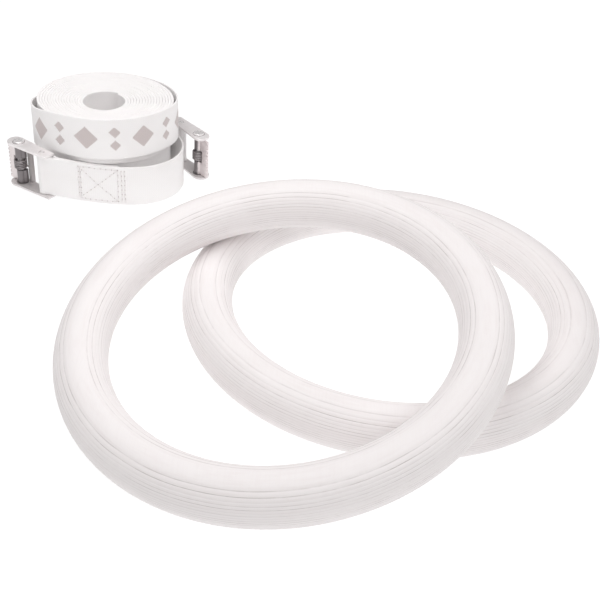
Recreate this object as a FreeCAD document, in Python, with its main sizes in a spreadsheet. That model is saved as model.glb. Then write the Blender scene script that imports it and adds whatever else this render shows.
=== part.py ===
"""Gymnastics rings: two plywood rings and two rolled webbing straps with cam buckles.

Millimetres, +Z up. The set lies on a flat surface at z = 0 and the origin is the middle of its
footprint. The right ring lies flat, the left ring leans on it, and the two straps are rolled up
and stacked behind them, each with its cam buckle standing on edge beside the rolls.
"""

import FreeCAD, Part
import Sketcher
import math
import os

Vector = FreeCAD.Vector
Rotation = FreeCAD.Rotation
Placement = FreeCAD.Placement

DRIVING_DIMENSIONS = {
    # rings
    "ring_outer_diameter": 236.0,
    "ring_tube_diameter": 28.0,
    "right_ring_x": 67.8,
    "right_ring_y": -10.7,
    "ring_spacing": 83.2,
    "ring_spacing_bearing": 44.2,
    "resting_gap": 0.3,
    # webbing and its rolls
    "webbing_width": 28.0,
    "webbing_thickness": 1.2,
    "stack_x": -122.8,
    "stack_y": 138.4,
    "upper_roll_half_width": 44.6,
    "upper_roll_half_depth": 39.5,
    "upper_roll_offset": 1.0,
    "upper_roll_base": 28.5,
    "lower_roll_half_width": 42.0,
    "lower_roll_half_depth": 37.0,
    "roll_core_radius": 13.3,
    "roll_core_setback": 5.5,
    "sewn_length": 52.0,
    "stitch_box_length": 31.0,
    "stitch_box_height": 23.5,
    "stitch_box_start": 23.0,
    "thread_width": 0.8,
    "thread_depth": 0.35,
    # cam buckles
    "ear_thickness": 1.6,
    "ear_nose_radius": 5.7,
    "ear_nose_reach": 2.6,
    "ear_tail_reach": 28.5,
    "ear_tail_half_depth": 4.0,
    "buckle_side_play": 0.2,
    "rivet_head_height": 1.0,
    "rivet_head_radius": 3.7,
    "rivet_head_rounding": 0.85,
    "pin_radius": 2.0,
    "pin_clearance": 0.05,
    "strap_bar_reach": 21.0,
    "strap_bar_play": 0.15,
    "strap_bar_chamfer": 0.3,
    "clamp_bar_reach": 6.9,
    "clamp_bar_width": 2.6,
    "clamp_bar_offset": 5.4,
    "clamp_bar_depth": 3.0,
    "lever_end_play": 0.4,
    "lever_slant": 3.5,
    "lever_plate_start": 1.5,
    "lever_plate_length": 9.0,
    "lever_plate_offset": -0.4,
    "lever_plate_thickness": 1.6,
    "lever_web_start": 0.4,
    "lever_web_length": 3.8,
    "lever_web_depth": 1.8,
    "lever_hub_radius": 3.0,
    "cam_lobe_radius": 1.9,
    "cam_lobe_offset": 2.4,
    "cam_lobe_bearing": 207.0,
    "cam_tooth_size": 0.7,
    "grip_notch_size": 1.0,
    "edge_rounding": 0.45,
    "spring_wire_radius": 0.55,
    "spring_coil_radius": 3.8,
    "spring_pitch": 1.25,
    "spring_turns": 5.0,
    "spring_fixed_leg": 5.8,
    "spring_moving_leg": 6.5,
    "spring_moving_leg_bearing": 289.0,
    "spring_well_margin": 1.3,
    "spring_well_depth": 7.0,
    "spring_well_half_length": 9.0,
    "spring_well_reach": 4.9,
    # where the two buckles' pivot pins stand, measured from the middle of the stack of rolls
    "left_buckle_x": -53.7,
    "left_buckle_y": -25.5,
    "left_buckle_bearing": 148.0,
    "left_strap_heading": -5.0,
    "right_buckle_x": 61.2,
    "right_buckle_y": 6.0,
    "right_buckle_bearing": -48.5,
}

CAM_TOOTH_BEARINGS = (165.0, 193.0, 221.0, 249.0)
GRIP_NOTCHES = 9
TOOTH_CREST_SINK = 0.8
FOLD_ARC_STEPS = 8
FOLD_LEAD = 5.0
FOLD_MERGE_LENGTH = 12.0
PATH_STEP = 4.0
LAYER_GAP = 0.05
THREAD_SKIN_GAP = 0.03
THREAD_END_GAP = 0.24
LEAN_LIMITS = (4.0, 25.0)
LEAN_HALVINGS = 40
RING_CHECK_STEPS = 1440

# The loose turn of the upper strap, round the roll from the back right over the front to the
# back left: bearing from the roll's middle, gap to the roll, height of the lower edge.
UPPER_TURN_KNOTS = (
    (62.0, 0.75, 28.5), (35.0, 1.4, 29.2), (0.0, 2.6, 31.2), (-35.0, 2.2, 32.8), (-90.0, 1.9, 32.8),
    (-118.0, 2.0, 32.4), (-136.0, 2.7, 30.6), (-156.0, 3.9, 27.1), (-180.0, 4.9, 23.2),
    (-200.0, 4.9, 19.6),
)
# The same strap further on, behind the rolls and down to its buckle.
UPPER_DESCENT_KNOTS = (
    (-200.0, 4.9, 19.6), (-218.0, 5.0, 15.6), (-240.0, 5.0, 10.8), (-262.0, 5.4, 6.9),
    (-284.0, 6.4, 4.4), (-303.0, 8.6, 3.2), (-316.0, 10.8, 2.85),
)
# The loose turn of the lower strap, from its buckle past the front to the back of the roll:
# place measured from the middle of the stack, and height of the lower edge.
LOWER_TURN_POINTS = (
    (-24.0, -40.9, 2.7), (-14.0, -41.0, 1.5), (0.0, -40.9, 0.4), (15.0, -40.4, 0.0),
    (29.0, -38.0, 0.0), (41.0, -31.4, 0.0), (49.4, -20.0, 0.0), (51.8, -6.0, 0.0),
    (47.4, 8.4, 0.0), (38.6, 19.8, 0.0), (27.4, 29.8, 0.0), (14.6, 36.0, 0.0), (3.0, 38.0, 0.0),
)


def ring_lean_angle(size):
    """Lean, in degrees, at which the left ring rests on the right one with the resting gap."""
    tube = size["ring_tube_diameter"] / 2.0
    radius = size["ring_outer_diameter"] / 2.0 - tube
    wanted = 2.0 * tube + size["resting_gap"]

    def nearest(lean):
        low_side = math.radians(lean)
        height = radius * math.sin(low_side)
        best = wanted * wanted
        for step in range(RING_CHECK_STEPS):
            turn = 2.0 * math.pi * step / RING_CHECK_STEPS
            along = radius * math.cos(turn) * math.cos(low_side)
            across = radius * math.sin(turn)
            lift = height + radius * math.cos(turn) * math.sin(low_side)
            plan = math.hypot(along - size["ring_spacing"], across)
            best = min(best, math.hypot(plan - radius, lift))
        return best

    low, high = LEAN_LIMITS
    for _ in range(LEAN_HALVINGS):
        middle = (low + high) / 2.0
        if nearest(middle) < wanted:
            low = middle
        else:
            high = middle
    return high


def write_sheet(doc):
    sheet = doc.addObject("Spreadsheet::Sheet", "Dimensions")
    size = dict(DRIVING_DIMENSIONS)
    size["ring_lean"] = round(ring_lean_angle(size), 3)
    for row, (name, value) in enumerate(size.items(), start=1):
        sheet.set("A%d" % row, name)
        sheet.set("B%d" % row, str(value))
        sheet.setAlias("B%d" % row, name)
    doc.recompute()
    return {name: float(sheet.get(name)) for name in size}


def bind(obj, **expressions):
    for prop, expression in expressions.items():
        obj.setExpression(prop.replace("__", "."), expression)
    return obj


def cell(expression):
    """Write Dimensions. before every name of the sheet in a bracketed expression."""
    return expression.replace("[", "Dimensions.").replace("]", "")


def make(doc, kind, name, place=None, **expressions):
    obj = doc.addObject(kind, name)
    if place is not None:
        obj.Placement = place
    return bind(obj, **{key: cell(text) for key, text in expressions.items()})


def label(obj, name):
    obj.Label = name
    return obj


# ---------------------------------------------------------------- rings

def build_rings(doc, size):
    rings = []
    for name in ("right_ring", "left_ring"):
        ring = make(doc, "Part::Torus", name,
                    Radius1="([ring_outer_diameter] - [ring_tube_diameter]) / 2",
                    Radius2="[ring_tube_diameter] / 2")
        rings.append(label(ring, name))
    tube = size["ring_tube_diameter"] / 2.0
    radius = size["ring_outer_diameter"] / 2.0 - tube
    right = Vector(size["right_ring_x"], size["right_ring_y"], tube)
    bearing = math.radians(size["ring_spacing_bearing"])
    towards_right = Vector(math.cos(bearing), math.sin(bearing), 0.0)
    rise = radius * math.sin(math.radians(size["ring_lean"]))
    left = right - towards_right * size["ring_spacing"] + Vector(0.0, 0.0, rise)
    lean_axis = Vector(towards_right.y, -towards_right.x, 0.0)
    rings[0].Placement = Placement(right, Rotation())
    rings[1].Placement = Placement(left, Rotation(lean_axis, size["ring_lean"]))
    return rings


# ---------------------------------------------------------------- webbing

def oval_radius(half_width, half_depth, bearing):
    turn = math.radians(bearing)
    return 1.0 / math.hypot(math.cos(turn) / half_width, math.sin(turn) / half_depth)


def smooth_path(points):
    """Even samples, about PATH_STEP apart, along a smooth curve that stays above the surface."""
    curve = Part.BSplineCurve()
    curve.interpolate(points)
    steps = int(round(curve.length() / PATH_STEP))
    return [Vector(point.x, point.y, max(point.z, 0.0))
            for point in curve.discretize(Number=steps + 1)]


def headings(path):
    """Unit directions in plan along a path."""
    result = []
    for index in range(len(path)):
        before = path[max(index - 1, 0)]
        after = path[min(index + 1, len(path) - 1)]
        flat = Vector(after.x - before.x, after.y - before.y, 0.0)
        result.append(flat.normalize())
    return result


def ribbon(path, width, thickness):
    """Upright strip: each path point is the middle of the strip's lower edge."""
    sections = []
    for point, heading in zip(path, headings(path)):
        half = Vector(-heading.y, heading.x, 0.0) * (thickness / 2.0)
        tall = Vector(0.0, 0.0, width)
        corners = [point - half, point + half, point + half + tall, point - half + tall]
        sections.append(Part.makePolygon(corners + corners[:1]))
    return Part.makeLoft(sections, True, True)


def shifted(path, sideways, upward=0.0):
    """The path moved to its left by an amount, or by one amount for each point."""
    amounts = sideways if isinstance(sideways, list) else [sideways] * len(path)
    return [point + Vector(-heading.y * amount, heading.x * amount, upward)
            for point, heading, amount in zip(path, headings(path), amounts)]


def travelled(path):
    lengths = [0.0]
    for start, end in zip(path, path[1:]):
        lengths.append(lengths[-1] + start.distanceToPoint(end))
    return lengths


def fold_round_bar(path, side, bar_radius_to_middle, size):
    """Doubled end: round the strap bar from the path's start and back beside the path.

    side is +1 when the second layer lies on the left of the path, -1 when on its right.
    """
    layer = size["webbing_thickness"] + LAYER_GAP
    open_gap = 2.0 * bar_radius_to_middle
    lengths = travelled(path)
    doubled = [point for point, run in zip(path, lengths) if run <= size["sewn_length"]]
    amounts = []
    for run in lengths[:len(doubled)]:
        share = max(0.0, 1.0 - run / FOLD_MERGE_LENGTH)
        ease = share * share * (3.0 - 2.0 * share)
        amounts.append(side * (layer + (open_gap - layer) * ease))
    second = shifted(doubled, amounts)
    heading = headings(path)[0]
    left = Vector(-heading.y, heading.x, 0.0) * side
    centre = path[0] + left * bar_radius_to_middle
    arc = []
    for step in range(FOLD_ARC_STEPS + 1):
        turn = math.pi * step / FOLD_ARC_STEPS
        arc.append(centre - left * (bar_radius_to_middle * math.cos(turn))
                   - heading * (bar_radius_to_middle * math.sin(turn)))
    return arc + second[1:]


def add_feature(doc, name, shape):
    obj = doc.addObject("Part::Feature", name)
    obj.Shape = shape
    return label(obj, name)


def build_roll(doc, name, half_width, half_depth):
    """Tightly wound webbing: an oval roll with a round core, as one closed solid."""
    body = doc.addObject("PartDesign::Body", name)
    plane = [item for item in body.Origin.OriginFeatures if item.Role == "XY_Plane"][0]
    sketch = body.newObject("Sketcher::SketchObject", name + "_outline")
    sketch.AttachmentSupport = [(plane, "")]
    sketch.MapMode = "FlatFace"
    width, depth = DRIVING_DIMENSIONS[half_width], DRIVING_DIMENSIONS[half_depth]
    core_radius = DRIVING_DIMENSIONS["roll_core_radius"]
    core_setback = DRIVING_DIMENSIONS["roll_core_setback"]
    oval = Part.Ellipse(Vector(width, 0, 0), Vector(0, depth, 0), Vector(0, 0, 0))
    sketch.addGeometry(oval, False)
    sketch.exposeInternalGeometry(0)
    origin_point, centre_line = (-1, 1), -2
    sketch.addConstraint(Sketcher.Constraint("Coincident", 0, 3, *origin_point))
    sketch.addConstraint(Sketcher.Constraint("Horizontal", 1))
    reach = sketch.addConstraint(Sketcher.Constraint("DistanceX", 1, 1, 1, 2, 2.0 * width))
    span = sketch.addConstraint(Sketcher.Constraint("DistanceY", 2, 1, 2, 2, 2.0 * depth))
    hole = Part.Circle(Vector(0, -core_setback, 0), Vector(0, 0, 1), core_radius)
    core = sketch.addGeometry(hole, False)
    sketch.addConstraint(Sketcher.Constraint("PointOnObject", core, 3, centre_line))
    radius = sketch.addConstraint(Sketcher.Constraint("Radius", core, core_radius))
    setback = sketch.addConstraint(
        Sketcher.Constraint("DistanceY", core, 3, *origin_point, core_setback))
    sketch.renameConstraint(reach, "reach")
    sketch.renameConstraint(span, "span")
    sketch.renameConstraint(radius, "core")
    sketch.renameConstraint(setback, "setback")
    sketch.setExpression("Constraints.reach", cell("2 * [%s]" % half_width))
    sketch.setExpression("Constraints.span", cell("2 * [%s]" % half_depth))
    sketch.setExpression("Constraints.core", cell("[roll_core_radius]"))
    sketch.setExpression("Constraints.setback", cell("[roll_core_setback]"))
    pad = body.newObject("PartDesign::Pad", name + "_pad")
    pad.Profile = sketch
    pad.setExpression("Length", cell("[webbing_width]"))
    return label(body, name)


def knots_to_path(knots, centre, size):
    points = []
    for bearing, gap, height in knots:
        reach = oval_radius(size["upper_roll_half_width"], size["upper_roll_half_depth"], bearing)
        turn = math.radians(bearing)
        radius = reach + gap
        points.append(centre + Vector(radius * math.cos(turn), radius * math.sin(turn), height))
    return points


def bar_place(size, side):
    """Middle of a buckle's strap bar and the direction from it away from the buckle."""
    stack = Vector(size["stack_x"], size["stack_y"], 0.0)
    pivot = stack + Vector(size[side + "_buckle_x"], size[side + "_buckle_y"], 0.0)
    bearing = math.radians(size[side + "_buckle_bearing"])
    tail = Vector(-math.cos(bearing), -math.sin(bearing), 0.0)
    return pivot + tail * size["strap_bar_reach"], tail


def stitch_box(path, outward, base, size):
    """Sewn square with a cross, as raised threads on the strap's outer face."""
    lengths = travelled(path)
    first = size["stitch_box_start"]
    last = first + size["stitch_box_length"]
    skin = size["webbing_thickness"] / 2.0 + size["thread_depth"] / 2.0 + THREAD_SKIN_GAP
    face = shifted(path, outward * skin)
    margin = (size["webbing_width"] - size["stitch_box_height"]) / 2.0
    thread = size["thread_width"]

    def at(run):
        for index in range(1, len(lengths)):
            if lengths[index] >= run:
                share = (run - lengths[index - 1]) / (lengths[index] - lengths[index - 1])
                return face[index - 1] + (face[index] - face[index - 1]) * share
        return face[-1]

    def strip(start, end, low, high):
        inner = [run for run in lengths if start + thread < run < end - thread]
        runs = [start] + inner + [end]
        points = []
        for run in runs:
            share = (run - start) / (end - start)
            points.append(at(run) + Vector(0.0, 0.0, low + (high - low) * share))
        return ribbon(points, thread, size["thread_depth"])

    low, high = margin, margin + size["stitch_box_height"] - thread
    middle, centre = (first + last) / 2.0, (low + high) / 2.0
    inset, split = 2.0 * thread, 1.2 * thread
    slope = (high - low) / (last - first)
    solids = [strip(first, last, low, low), strip(first, last, high, high)]
    for run in (first + thread / 2.0, last - thread / 2.0):
        post = [at(run - thread / 2.0), at(run + thread / 2.0)]
        foot = low + thread + THREAD_END_GAP
        post = [point + Vector(0.0, 0.0, foot) for point in post]
        solids.append(ribbon(post, high - foot - THREAD_END_GAP, size["thread_depth"]))
    reach = slope * inset
    solids.append(strip(first + inset, last - inset, low + reach, high - reach))
    solids.append(strip(first + inset, middle - split, high - reach, centre + slope * split))
    solids.append(strip(middle + split, last - inset, centre - slope * split, low + reach))
    return Part.makeCompound(solids)


def build_straps(doc, size):
    stack = Vector(size["stack_x"], size["stack_y"], 0.0)
    upper_centre = stack + Vector(0.0, size["upper_roll_offset"], 0.0)
    width, thickness = size["webbing_width"], size["webbing_thickness"]
    fold_radius = size["pin_radius"] + size["strap_bar_play"] + thickness / 2.0
    buckle_base = size["rivet_head_height"] + size["ear_thickness"] + size["buckle_side_play"]
    parts = []

    upper = build_roll(doc, "upper_strap_roll", "upper_roll_half_width", "upper_roll_half_depth")
    upper.Placement = Placement(upper_centre + Vector(0, 0, size["upper_roll_base"]), Rotation())
    lower = build_roll(doc, "lower_strap_roll", "lower_roll_half_width", "lower_roll_half_depth")
    lower.Placement = Placement(stack, Rotation())
    parts += [upper, lower]

    front_path = smooth_path(knots_to_path(UPPER_TURN_KNOTS, upper_centre, size))
    parts.append(add_feature(doc, "upper_strap_front_turn", ribbon(front_path, width, thickness)))

    bar, tail = bar_place(size, "right")
    outside = Vector(tail.y, -tail.x, 0.0)
    fold_start = bar + outside * fold_radius + Vector(0.0, 0.0, buckle_base)
    descent = knots_to_path(UPPER_DESCENT_KNOTS, upper_centre, size)
    descent += [fold_start + tail * FOLD_LEAD, fold_start]
    descent_path = smooth_path(descent)
    parts.append(add_feature(doc, "upper_strap_descent", ribbon(descent_path, width, thickness)))
    from_buckle = list(reversed(descent_path))
    fold = fold_round_bar(from_buckle, 1, fold_radius, size)
    parts.append(add_feature(doc, "upper_strap_fold", ribbon(fold, width, thickness)))
    threads = stitch_box(from_buckle, -1, buckle_base, size)
    parts.append(add_feature(doc, "upper_strap_stitching", threads))

    bar = bar_place(size, "left")[0]
    bearing = math.radians(size["left_strap_heading"])
    heading = Vector(math.cos(bearing), math.sin(bearing), 0.0)
    outside = Vector(heading.y, -heading.x, 0.0)
    fold_start = bar + outside * fold_radius + Vector(0.0, 0.0, buckle_base)
    turn = [fold_start, fold_start + heading * FOLD_LEAD]
    turn += [stack + Vector(*point) for point in LOWER_TURN_POINTS]
    turn_path = smooth_path(turn)
    parts.append(add_feature(doc, "lower_strap_outer_turn", ribbon(turn_path, width, thickness)))
    fold = fold_round_bar(turn_path, 1, fold_radius, size)
    parts.append(add_feature(doc, "lower_strap_fold", ribbon(fold, width, thickness)))
    threads = stitch_box(turn_path, -1, buckle_base, size)
    parts.append(add_feature(doc, "lower_strap_stitching", threads))
    return parts


# ---------------------------------------------------------------- cam buckles
# Each buckle is built lying along +X: the pivot pin on the Z axis, the strap bar towards -X,
# the lever's thumb plate towards +X. z = 0 is the tip of the lower rivet head.

INNER_WIDTH = "([webbing_width] + 2 * [buckle_side_play])"
OUTER_WIDTH = "([webbing_width] + 2 * [buckle_side_play] + 2 * [ear_thickness])"


def spring_sweep(size):
    return size["spring_turns"] * 360.0 + size["spring_moving_leg_bearing"] - 270.0


def spring_base(size):
    """Height of the spring's lowest coil, which puts the coils midway between the side plates."""
    middle = size["rivet_head_height"] + size["ear_thickness"]
    middle += (size["webbing_width"] + 2.0 * size["buckle_side_play"]) / 2.0
    return middle - size["spring_pitch"] * spring_sweep(size) / 720.0


def frame_of_buckle(doc, side, size):
    """Two side plates joined by the clamp bar, bored for the pin and the strap bar."""
    inner = size["webbing_width"] + 2.0 * size["buckle_side_play"]
    pieces = []
    for level, base in (("low", size["rivet_head_height"]),
                        ("high", size["rivet_head_height"] + size["ear_thickness"] + inner)):
        turned = Placement(Vector(-size["ear_tail_reach"], 0.0, base), Rotation(Vector(0, 0, 1), -90))
        taper = make(doc, "Part::Wedge", "%s_%s_ear" % (side, level), turned,
                     Xmin="-[ear_tail_half_depth]", Xmax="[ear_tail_half_depth]",
                     Ymin="0", Ymax="[ear_tail_reach] + [ear_nose_reach]",
                     Zmin="0", Zmax="[ear_thickness]",
                     X2min="-[ear_nose_radius]", X2max="[ear_nose_radius]",
                     Z2min="0", Z2max="[ear_thickness]")
        nose = make(doc, "Part::Cylinder", "%s_%s_nose" % (side, level),
                    Placement(Vector(size["ear_nose_reach"], 0.0, base), Rotation()),
                    Radius="[ear_nose_radius]", Height="[ear_thickness]")
        pieces += [taper, nose]
    clamp = make(doc, "Part::Box", side + "_clamp_bar",
                 Placement(Vector(-size["clamp_bar_reach"], -size["clamp_bar_offset"],
                                  size["rivet_head_height"]), Rotation()),
                 Length="[clamp_bar_width]", Width="[clamp_bar_depth]", Height=OUTER_WIDTH)
    blank = doc.addObject("Part::MultiFuse", side + "_frame_blank")
    blank.Shapes = pieces + [clamp]
    blank.Refine = True
    bores = []
    for name, reach in (("pin", 0.0), ("bar", -size["strap_bar_reach"])):
        bores.append(make(doc, "Part::Cylinder", "%s_%s_bore" % (side, name),
                          Placement(Vector(reach, 0.0, 0.0), Rotation()),
                          Radius="[pin_radius]", Height="2 * [rivet_head_height] + " + OUTER_WIDTH))
    bores.append(make(doc, "Part::Cylinder", side + "_spring_seat",
                      Placement(Vector(0.0, -size["spring_coil_radius"], spring_base(size)),
                                Rotation(Vector(0, 1, 0), -90)),
                      Radius="[spring_wire_radius] + [pin_clearance]",
                      Height="[spring_fixed_leg] + 0.1"))
    holes = doc.addObject("Part::MultiFuse", side + "_frame_bores")
    holes.Shapes = bores
    cut = doc.addObject("Part::Cut", side + "_frame_bored")
    cut.Base, cut.Tool = blank, holes
    doc.recompute()
    return rounded(doc, side + "_buckle_frame", cut, size["edge_rounding"], long_outer_edges)


def long_outer_edges(shape):
    """The rims of the side plates' outer faces, which are rounded by handling."""
    box = shape.BoundBox
    chosen = []
    for number, edge in enumerate(shape.Edges, start=1):
        flat = edge.BoundBox.ZLength < 1e-6
        outer = min(abs(edge.BoundBox.ZMin - box.ZMin), abs(edge.BoundBox.ZMax - box.ZMax)) < 1e-6
        circle = edge.Curve.TypeId == "Part::GeomCircle" and edge.Curve.Radius < 3.0
        if flat and outer and not circle:
            chosen.append(number)
    return chosen


def rounded(doc, name, base, radius, choose):
    fillet = doc.addObject("Part::Fillet", name)
    fillet.Base = base
    fillet.Edges = [(number, radius, radius) for number in choose(base.Shape)]
    return label(fillet, name)


def strap_bar_of_buckle(doc, side, size):
    bar = make(doc, "Part::Cylinder", side + "_bar_blank",
               Placement(Vector(-size["strap_bar_reach"], 0.0, size["rivet_head_height"]), Rotation()),
               Radius="[pin_radius]", Height=OUTER_WIDTH)
    chamfer = doc.addObject("Part::Chamfer", side + "_buckle_strap_bar")
    chamfer.Base = bar
    doc.recompute()
    rims = [number for number, edge in enumerate(bar.Shape.Edges, start=1)
            if edge.Curve.TypeId == "Part::GeomCircle"]
    cut = size["strap_bar_chamfer"]
    chamfer.Edges = [(number, cut, cut) for number in rims]
    return label(chamfer, side + "_buckle_strap_bar")


def pin_of_buckle(doc, side, size):
    """Rivet: a shank through both side plates with a rounded head on each end."""
    outer = size["webbing_width"] + 2.0 * (size["buckle_side_play"] + size["ear_thickness"])
    shank = make(doc, "Part::Cylinder", side + "_pin_shank",
                 Placement(Vector(0, 0, size["rivet_head_height"] / 2.0), Rotation()),
                 Radius="[pin_radius]", Height="[rivet_head_height] + " + OUTER_WIDTH)
    heads = []
    for level, base in (("low", 0.0), ("high", size["rivet_head_height"] + outer)):
        blank = make(doc, "Part::Cylinder", "%s_%s_head_blank" % (side, level),
                     Placement(Vector(0, 0, base), Rotation()),
                     Radius="[rivet_head_radius]", Height="[rivet_head_height]")
        doc.recompute()
        outside = 0.0 if level == "low" else base + size["rivet_head_height"]

        def rim(shape, outside=outside):
            return [number for number, edge in enumerate(shape.Edges, start=1)
                    if edge.Curve.TypeId == "Part::GeomCircle"
                    and abs(edge.BoundBox.ZMin - outside) < 1e-6]

        heads.append(rounded(doc, "%s_%s_head" % (side, level), blank,
                             size["rivet_head_rounding"], rim))
    pin = doc.addObject("Part::MultiFuse", side + "_buckle_pivot_pin")
    pin.Shapes = [shank] + heads
    return label(pin, side + "_buckle_pivot_pin")


def lever_of_buckle(doc, side, size):
    """Cam lever: hubs and toothed cam on the pin, and the thumb plate that runs out from them."""
    base = size["rivet_head_height"] + size["ear_thickness"] + size["lever_end_play"]
    tall = size["webbing_width"] + 2.0 * size["buckle_side_play"] - 2.0 * size["lever_end_play"]
    tall_cell = "[webbing_width] + 2 * [buckle_side_play] - 2 * [lever_end_play]"
    slant = Rotation(Vector(0, 0, 1), -size["lever_slant"])

    def slanted(x, y, z):
        return Placement(slant.multVec(Vector(x, y, z)), slant)

    hub = make(doc, "Part::Cylinder", side + "_lever_hub", Placement(Vector(0, 0, base), Rotation()),
               Radius="[lever_hub_radius]", Height=tall_cell)
    towards_lobe = Rotation(Vector(0, 0, 1), size["cam_lobe_bearing"])
    lobe_centre = towards_lobe.multVec(Vector(size["cam_lobe_offset"], 0.0, 0.0))
    lobe_centre.z = base
    lobe = make(doc, "Part::Cylinder", side + "_cam_lobe", Placement(lobe_centre, Rotation()),
                Radius="[cam_lobe_radius]", Height=tall_cell)
    web = make(doc, "Part::Box", side + "_lever_web",
               slanted(size["lever_web_start"], size["lever_plate_offset"] - size["lever_web_depth"],
                       base), Length="[lever_web_length]",
               Width="[lever_web_depth] + [lever_plate_thickness] / 2", Height=tall_cell)
    plate = make(doc, "Part::Box", side + "_thumb_plate",
                 slanted(size["lever_plate_start"], size["lever_plate_offset"], base),
                 Length="[lever_plate_length]", Width="[lever_plate_thickness]", Height=tall_cell)
    pieces = [hub, lobe, web, plate]
    tooth = size["cam_tooth_size"]
    for index, bearing in enumerate(CAM_TOOTH_BEARINGS):
        turn = Rotation(Vector(0, 0, 1), bearing)
        crest = turn.multVec(Vector(size["cam_lobe_radius"] - TOOTH_CREST_SINK * tooth, 0, 0))
        place = Placement(lobe_centre + crest, turn.multiply(Rotation(Vector(0, 0, 1), -45)))
        pieces.append(make(doc, "Part::Box", "%s_cam_tooth_%d" % (side, index), place,
                           Length="[cam_tooth_size]", Width="[cam_tooth_size]", Height=tall_cell))
    solid = doc.addObject("Part::MultiFuse", side + "_lever_blank")
    solid.Shapes = pieces
    solid.Refine = True
    bore = make(doc, "Part::Cylinder", side + "_lever_bore",
                Radius="[pin_radius] + [pin_clearance]",
               Height="2 * [rivet_head_height] + " + OUTER_WIDTH)
    well_height = size["spring_turns"] * size["spring_pitch"] + 2.0 * size["spring_well_margin"]
    well = make(doc, "Part::Box", side + "_spring_well",
                slanted(-size["spring_well_half_length"], -size["spring_well_depth"],
                        base + (tall - well_height) / 2.0),
                Length="[spring_well_half_length] + [spring_well_reach]",
                Width="2 * [spring_well_depth]",
                Height="[spring_turns] * [spring_pitch] + 2 * [spring_well_margin]")
    tools = [bore, well]
    notch = size["grip_notch_size"]
    for index in range(GRIP_NOTCHES):
        height = base + tall * (index + 1) / (GRIP_NOTCHES + 1) - notch / 2.0
        end = size["lever_plate_start"] + size["lever_plate_length"] - notch
        half_way = size["lever_plate_offset"] + size["lever_plate_thickness"] / 2.0
        tools.append(make(doc, "Part::Box", "%s_grip_notch_%d" % (side, index),
                          slanted(end, half_way, height),
                          Length="2 * [grip_notch_size]", Width="[lever_plate_thickness]",
                          Height="[grip_notch_size]"))
    cutters = doc.addObject("Part::MultiFuse", side + "_lever_cutters")
    cutters.Shapes = tools
    lever = doc.addObject("Part::Cut", side + "_buckle_cam_lever")
    lever.Base, lever.Tool = solid, cutters
    return label(lever, side + "_buckle_cam_lever")


def spring_of_buckle(doc, side, size):
    """Torsion spring on the pin: one leg behind the clamp bar, one under the thumb plate."""
    wire, radius = size["spring_wire_radius"], size["spring_coil_radius"]
    height = size["spring_pitch"] * spring_sweep(size) / 360.0
    low = spring_base(size)
    helix = Part.makeHelix(size["spring_pitch"], height, radius)
    start = Vector(radius, 0.0, 0.0)
    profile = Part.Wire(Part.makeCircle(wire, start, Vector(0, 1, 0)))
    coil = Part.Wire(helix).makePipeShell([profile], True, True)
    coil = Part.Solid(coil) if coil.ShapeType == "Shell" else coil
    coil.Placement = Placement(Vector(0, 0, low), Rotation(Vector(0, 0, 1), -90.0))
    fixed = Part.makeCylinder(wire, size["spring_fixed_leg"], Vector(-0.02, -radius, low),
                              Vector(-1, 0, 0))
    turn = math.radians(size["spring_moving_leg_bearing"])
    root = Vector(radius * math.cos(turn), radius * math.sin(turn), low + height)
    along = Vector(-math.sin(turn), math.cos(turn), 0.0)
    moving = Part.makeCylinder(wire, size["spring_moving_leg"], root + along * 0.02, along)
    shape = Part.makeCompound([coil, fixed, moving])
    return add_feature(doc, side + "_buckle_torsion_spring", shape)


def build_buckle(doc, side, flipped, size):
    pieces = [frame_of_buckle(doc, side, size), strap_bar_of_buckle(doc, side, size),
              pin_of_buckle(doc, side, size), lever_of_buckle(doc, side, size),
              spring_of_buckle(doc, side, size)]
    height = size["webbing_width"] + 2.0 * (size["buckle_side_play"] + size["ear_thickness"])
    height += 2.0 * size["rivet_head_height"]
    place = Vector(size["stack_x"] + size[side + "_buckle_x"],
                   size["stack_y"] + size[side + "_buckle_y"], height if flipped else 0.0)
    turn = Rotation(Vector(0, 0, 1), size[side + "_buckle_bearing"])
    if flipped:
        turn = turn.multiply(Rotation(Vector(1, 0, 0), 180.0))
    for piece in pieces:
        piece.Placement = Placement(place, turn)
    return pieces


# ---------------------------------------------------------------- check and export

def check(doc, parts):
    for obj in doc.Objects:
        if "Invalid" in obj.State or "Error" in obj.State:
            raise RuntimeError("%s did not compute: %s" % (obj.Name, obj.State))
    for part in parts:
        shape = part.Shape
        if shape.isNull() or not shape.isValid() or not shape.Solids:
            raise RuntimeError("%s has no valid solid" % part.Label)


def main():
    doc = FreeCAD.newDocument("gymnastics_rings")
    size = write_sheet(doc)
    parts = build_rings(doc, size)
    parts += build_straps(doc, size)
    parts += build_buckle(doc, "left", False, size)
    parts += build_buckle(doc, "right", True, size)
    doc.recompute()
    check(doc, parts)
    os.makedirs("parts", exist_ok=True)
    whole = FreeCAD.BoundBox()
    for part in parts:
        part.Shape.exportStep("parts/%s.step" % part.Label)
        whole.add(part.Shape.BoundBox)
        print("%-30s %2d solids %10.1f mm3" % (part.Label, len(part.Shape.Solids), part.Shape.Volume))
    print("box x %.2f %.2f  y %.2f %.2f  z %.2f %.2f" % (
        whole.XMin, whole.XMax, whole.YMin, whole.YMax, whole.ZMin, whole.ZMax))
    print("ring lean %.3f degrees" % size["ring_lean"])


main()
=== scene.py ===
"""Looks of the gymnastics rings: turned plywood rings, rolled webbing straps and cam buckles.

Lengths are in metres, in the frame's own axes. MM turns millimetres into metres.
"""

import math
import random

import bmesh
import bpy
import numpy as np
from mathutils import Matrix, Vector


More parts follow.
